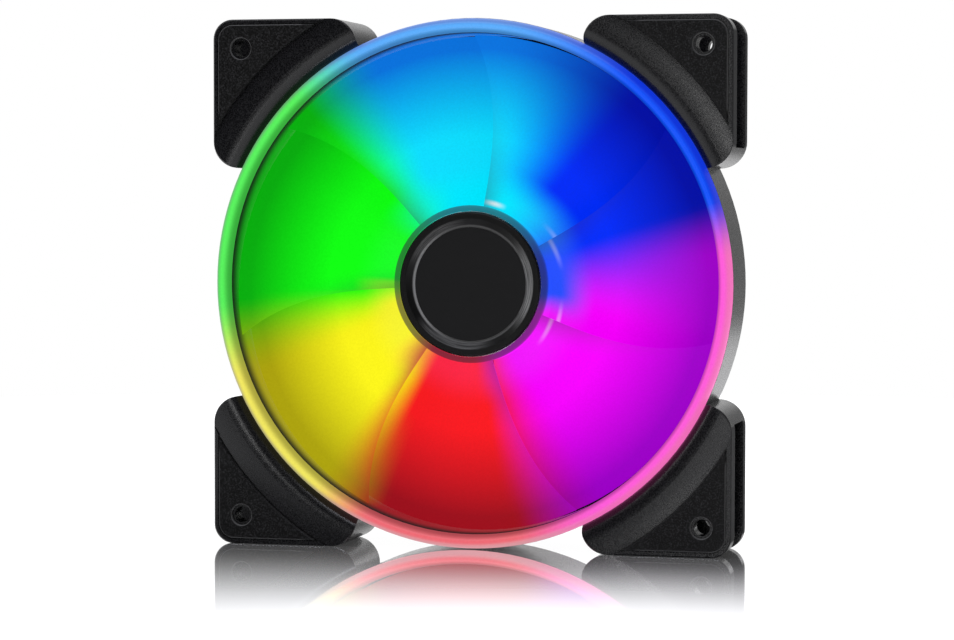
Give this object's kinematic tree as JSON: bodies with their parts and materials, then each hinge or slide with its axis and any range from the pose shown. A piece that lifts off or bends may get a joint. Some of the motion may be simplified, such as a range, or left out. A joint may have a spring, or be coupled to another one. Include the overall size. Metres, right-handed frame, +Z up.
{
  "type": "case fan",
  "caption": "Square-framed axial case fan with open-sided corner blocks, rubber pads, a frosted light ring and a lit frosted impeller on a sealed hub motor.",
  "frame": {"origin": "the middle of the fan, on the impeller's axis and halfway through its depth", "axes": "+Z up as the fan stands on its lower corner blocks, +Y along the impeller's axis from the open front to the back with the struts, +X to the right seen from the front"},
  "size_m": [0.14, 0.025, 0.14],
  "materials": {
    "black_housing": "moulded black plastic, satin with a fine texture",
    "frosted_ring": "frosted light guide, smooth, lit from within",
    "frosted_impeller": "frosted translucent plastic, lit from the hub",
    "rubber_pad": "matt rubber with a fine speckle",
    "satin_cap": "black plastic, satin rim and brushed bevel",
    "cap_disc": "blank dark disc, matt",
    "led_package": "white diode package",
    "frosted_diffuser": "frosted ring",
    "circuit_board": "dark solder mask",
    "copper_winding": "enamelled copper wire",
    "laminations": "stacked steel sheets",
    "bobbin": "natural nylon",
    "rotor_steel": "zinc-plated steel",
    "ferrite": "dark bonded magnet",
    "shaft_steel": "ground steel",
    "brass_tube": "turned brass",
    "sintered_bronze": "sintered, oil-filled",
    "grey_washer": "washer plastic",
    "wear_plate": "low-friction plastic",
    "tinned_metal": "tinned",
    "black_chip": "moulded package",
    "ceramic_capacitor": "ceramic",
    "chip_resistor": "ceramic with a black coat",
    "blank_label": "blank satin film"
  },
  "bodies": {
    "frame": {"frame_housing": "black_housing", "light_ring": "frosted_ring", "front_pad_top_left": "rubber_pad", "front_pad_top_right": "rubber_pad", "front_pad_bottom_left": "rubber_pad", "front_pad_bottom_right": "rubber_pad", "rear_pad_top_left": "rubber_pad", "rear_pad_top_right": "rubber_pad", "rear_pad_bottom_left": "rubber_pad", "rear_pad_bottom_right": "rubber_pad", "bearing_tube": "brass_tube", "bearing_sleeve": "sintered_bronze", "oil_seal": "grey_washer", "thrust_pad": "wear_plate", "stator_core": "laminations", "upper_insulator": "bobbin", "lower_insulator": "bobbin", "stator_coil_1": "copper_winding", "stator_coil_2": "copper_winding", "stator_coil_3": "copper_winding", "stator_coil_4": "copper_winding", "coil_pins": "tinned_metal", "driver_board": "circuit_board", "led_1": "led_package", "led_2": "led_package", "led_3": "led_package", "led_4": "led_package", "led_5": "led_package", "led_6": "led_package", "led_diffuser": "frosted_diffuser", "driver_ic": "black_chip", "hall_sensor": "black_chip", "board_capacitors": "ceramic_capacitor", "board_resistors": "chip_resistor", "cable_terminals": "tinned_metal", "rear_label": "blank_label"},
    "rotor": {"impeller": "frosted_impeller", "hub_cap": "satin_cap", "hub_disc": "cap_disc", "rotor_yoke": "rotor_steel", "rotor_magnet": "ferrite", "shaft_boss": "brass_tube", "shaft": "shaft_steel", "shaft_clip": "shaft_steel"}
  },
  "joints": [
    {"name": "rotor_spin", "type": "hinge", "parent": "frame", "child": "rotor", "pos_m": [0, 0, 0], "axis": [0, -1, 0], "continuous": true}
  ]
}
